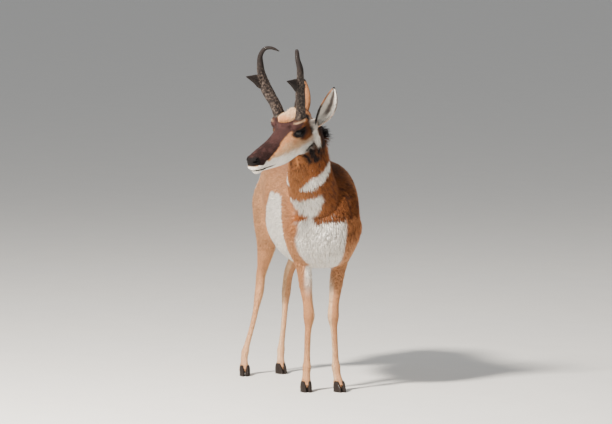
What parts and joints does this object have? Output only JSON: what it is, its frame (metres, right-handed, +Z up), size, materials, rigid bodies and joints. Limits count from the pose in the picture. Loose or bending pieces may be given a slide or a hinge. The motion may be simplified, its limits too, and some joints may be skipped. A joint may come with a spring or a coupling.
{
  "type": "pronghorn",
  "caption": "Adult pronghorn buck at life size, standing square and looking to its right, with black hooked and pronged horns.",
  "frame": {"origin": "middle of the outline box, at the soles", "axes": "+Z up, the animal's body faces -Y, its left side is +X, its head is turned to its right (-X)"},
  "size_m": [0.5269, 1.0924, 1.3188],
  "materials": {
    "coat": "short dense coat, tan above and white below",
    "tail_hair": "short hair",
    "ear_coat": "short hair, pale inside",
    "leg_coat": "very short hair",
    "eye": "wet gloss",
    "horn": "rough below, polished at the tips",
    "hoof": "satin"
  },
  "bodies": {
    "root": {"torso": "coat", "neck": "coat", "head": "coat", "tail": "tail_hair", "ear_left": "ear_coat", "ear_right": "ear_coat", "eye_left": "eye", "eye_right": "eye", "horn_left": "horn", "horn_right": "horn", "leg_front_left": "leg_coat", "leg_front_right": "leg_coat", "leg_hind_left": "leg_coat", "leg_hind_right": "leg_coat", "cannon_front_left": "leg_coat", "cannon_front_right": "leg_coat", "cannon_hind_left": "leg_coat", "cannon_hind_right": "leg_coat", "hoof_front_left_inner": "hoof", "hoof_front_left_outer": "hoof", "hoof_front_right_inner": "hoof", "hoof_front_right_outer": "hoof", "hoof_hind_left_inner": "hoof", "hoof_hind_left_outer": "hoof", "hoof_hind_right_inner": "hoof", "hoof_hind_right_outer": "hoof"}
  },
  "joints": []
}
